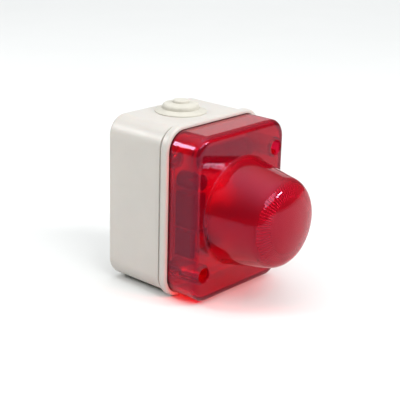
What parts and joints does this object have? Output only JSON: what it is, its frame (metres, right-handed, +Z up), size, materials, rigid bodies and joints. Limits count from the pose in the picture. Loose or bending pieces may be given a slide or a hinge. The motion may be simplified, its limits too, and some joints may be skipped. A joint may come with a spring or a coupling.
{
  "type": "wall signal light",
  "caption": "Surface-mounted wall signal light: ivory box with rubber cable grommet, front frame and red rectangular lens with a tapered dome over a flash tube and its circuit board.",
  "frame": {"origin": "middle of the back face, at the centre of the wall holes", "axes": "+Y into the wall, -Y towards the room along the dome, +X to the right seen from the front, +Z up towards the grommet"},
  "size_m": [0.067, 0.0893, 0.089],
  "materials": {
    "ivory_plastic": "fine satin moulding",
    "ivory_rubber": "matt soft moulding",
    "black_rubber": "matt",
    "zinc_steel": "bright zinc plating",
    "red_lens": "clear red polycarbonate, polished",
    "board_laminate": "bare paper laminate",
    "white_plastic": "plain moulding",
    "tube_glass": "clear drawn glass",
    "nickel_caps": "nickel plating",
    "dark_sleeve": "shrunk sleeve",
    "brown_resin": "dipped resin",
    "ferrite": "sintered and ground",
    "enamelled_wire": "wound wire",
    "black_plastic": "moulded",
    "resistor_ceramic": "cement",
    "terminal_plastic": "plain moulding",
    "clamp_brass": "tinned"
  },
  "bodies": {
    "root": {"rear_box": "ivory_plastic", "cable_grommet": "ivory_rubber", "box_gasket": "black_rubber", "front_frame": "ivory_plastic", "frame_screws": "zinc_steel", "lens_gasket": "black_rubber", "lens_cover": "red_lens", "lens_screws": "zinc_steel", "lens_screw_seals": "black_rubber", "circuit_board": "board_laminate", "board_screws": "zinc_steel", "tube_socket": "white_plastic", "flash_tube": "tube_glass", "tube_caps": "nickel_caps", "trigger_wire": "nickel_caps", "storage_capacitor": "dark_sleeve", "film_capacitor": "brown_resin", "choke": "dark_sleeve", "transformer_core": "ferrite", "transformer_winding": "enamelled_wire", "thyristor": "black_plastic", "charging_resistor": "resistor_ceramic", "rectifier_diodes": "black_plastic", "terminal_block": "terminal_plastic", "terminal_screws": "zinc_steel", "terminal_clamps": "clamp_brass"}
  },
  "joints": []
}
